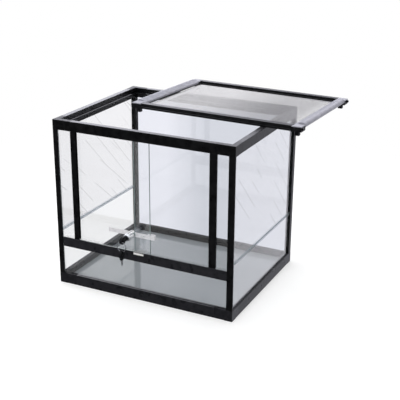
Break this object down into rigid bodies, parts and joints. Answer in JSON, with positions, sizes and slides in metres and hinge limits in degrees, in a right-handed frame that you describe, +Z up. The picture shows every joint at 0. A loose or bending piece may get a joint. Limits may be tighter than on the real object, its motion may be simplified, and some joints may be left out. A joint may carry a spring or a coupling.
{
  "type": "reptile terrarium",
  "caption": "Front-opening glass terrarium in a black frame with corner connectors, sliding doors, a ratchet lock with keys, and a mesh lid lying askew on top.",
  "frame": {"origin": "middle of the front bottom rail's underside, on the floor", "axes": "+X to the right seen from the front, +Y to the back, +Z up; the doors face -Y"},
  "size_m": [0.598, 0.596, 0.468],
  "materials": {
    "frame_plastic": "satin black extrusion",
    "glass": "polished float glass",
    "floor_glass": "grey-backed float glass",
    "clear_strip": "clear extruded strip",
    "white_plastic": "moulded white",
    "chrome": "bright plated",
    "steel": "nickel-plated",
    "grip_plastic": "moulded black",
    "lid_side": "satin anodised, ribbed",
    "lid_black": "black anodised",
    "corner_plastic": "moulded black",
    "mesh_wire": "woven wire",
    "spline": "matte"
  },
  "bodies": {
    "tank": {"bottom_connector_fl": "frame_plastic", "bottom_connector_fr": "frame_plastic", "bottom_connector_bl": "frame_plastic", "bottom_connector_br": "frame_plastic", "top_connector_fl": "frame_plastic", "top_connector_fr": "frame_plastic", "top_connector_bl": "frame_plastic", "top_connector_br": "frame_plastic", "bottom_rail_front": "frame_plastic", "bottom_rail_back": "frame_plastic", "bottom_rail_left": "frame_plastic", "bottom_rail_right": "frame_plastic", "top_rail_front": "frame_plastic", "top_rail_back": "frame_plastic", "top_rail_left": "frame_plastic", "top_rail_right": "frame_plastic", "post_fl": "frame_plastic", "post_fr": "frame_plastic", "post_bl": "frame_plastic", "post_br": "frame_plastic", "door_sill": "frame_plastic", "upright_left": "frame_plastic", "upright_right": "frame_plastic", "sidelight_left": "glass", "sidelight_right": "glass", "lower_front_pane": "glass", "back_pane": "glass", "floor_pane": "floor_glass", "side_pane_lower_left": "glass", "side_pane_lower_right": "glass", "side_pane_upper_left": "glass", "side_pane_upper_right": "glass", "joint_strip_left": "clear_strip", "joint_strip_right": "clear_strip"},
    "left_door": {"left_door": "glass", "left_door_shoe": "white_plastic", "ratchet_bar": "chrome"},
    "right_door": {"right_door": "glass", "right_door_shoe": "white_plastic"},
    "lock": {"lock_case": "chrome"},
    "plug": {"lock_plug": "steel"},
    "key": {"key_blade": "steel", "key_grip": "grip_plastic"},
    "ring": {"key_ring": "chrome"},
    "spare_key": {"spare_blade": "steel", "spare_grip": "grip_plastic"},
    "lid": {"lid_rail_front": "lid_black", "lid_rail_back": "lid_black", "lid_rail_left": "lid_side", "lid_rail_right": "lid_side", "lid_corner_fl": "corner_plastic", "lid_corner_fr": "corner_plastic", "lid_corner_bl": "corner_plastic", "lid_corner_br": "corner_plastic", "lid_mesh": "mesh_wire", "lid_spline": "spline"}
  },
  "joints": [
    {"name": "left_door_slide", "type": "slide", "parent": "tank", "child": "left_door", "axis": [1, 0, 0], "range_m": [0, 0.12]},
    {"name": "right_door_slide", "type": "slide", "parent": "tank", "child": "right_door", "axis": [-1, 0, 0], "range_m": [0, 0.12]},
    {"name": "lock_slide", "type": "slide", "parent": "right_door", "child": "lock", "axis": [-1, 0, 0], "range_m": [0, 0.022]},
    {"name": "plug_turn", "type": "hinge", "parent": "lock", "child": "plug", "pos_m": [-0.0313, -0.01125, 0.176], "axis": [0, 1, 0], "range_deg": [0, 90]},
    {"name": "key_pull", "type": "slide", "parent": "plug", "child": "key", "axis": [0, -1, 0], "range_m": [0, 0.025]},
    {"name": "ring_swing", "type": "hinge", "parent": "key", "child": "ring", "pos_m": [-0.0313, -0.05555, 0.17411], "axis": [1, 0, 0], "range_deg": [-40, 15]},
    {"name": "spare_swing", "type": "hinge", "parent": "ring", "child": "spare_key", "pos_m": [-0.0313, -0.05555, 0.14871], "axis": [1, 0, 0], "range_deg": [-30, 15]},
    {"name": "lid_lift", "type": "slide", "parent": "tank", "child": "lid", "axis": [0, 0, 1], "range_m": [0, 0.12]}
  ]
}
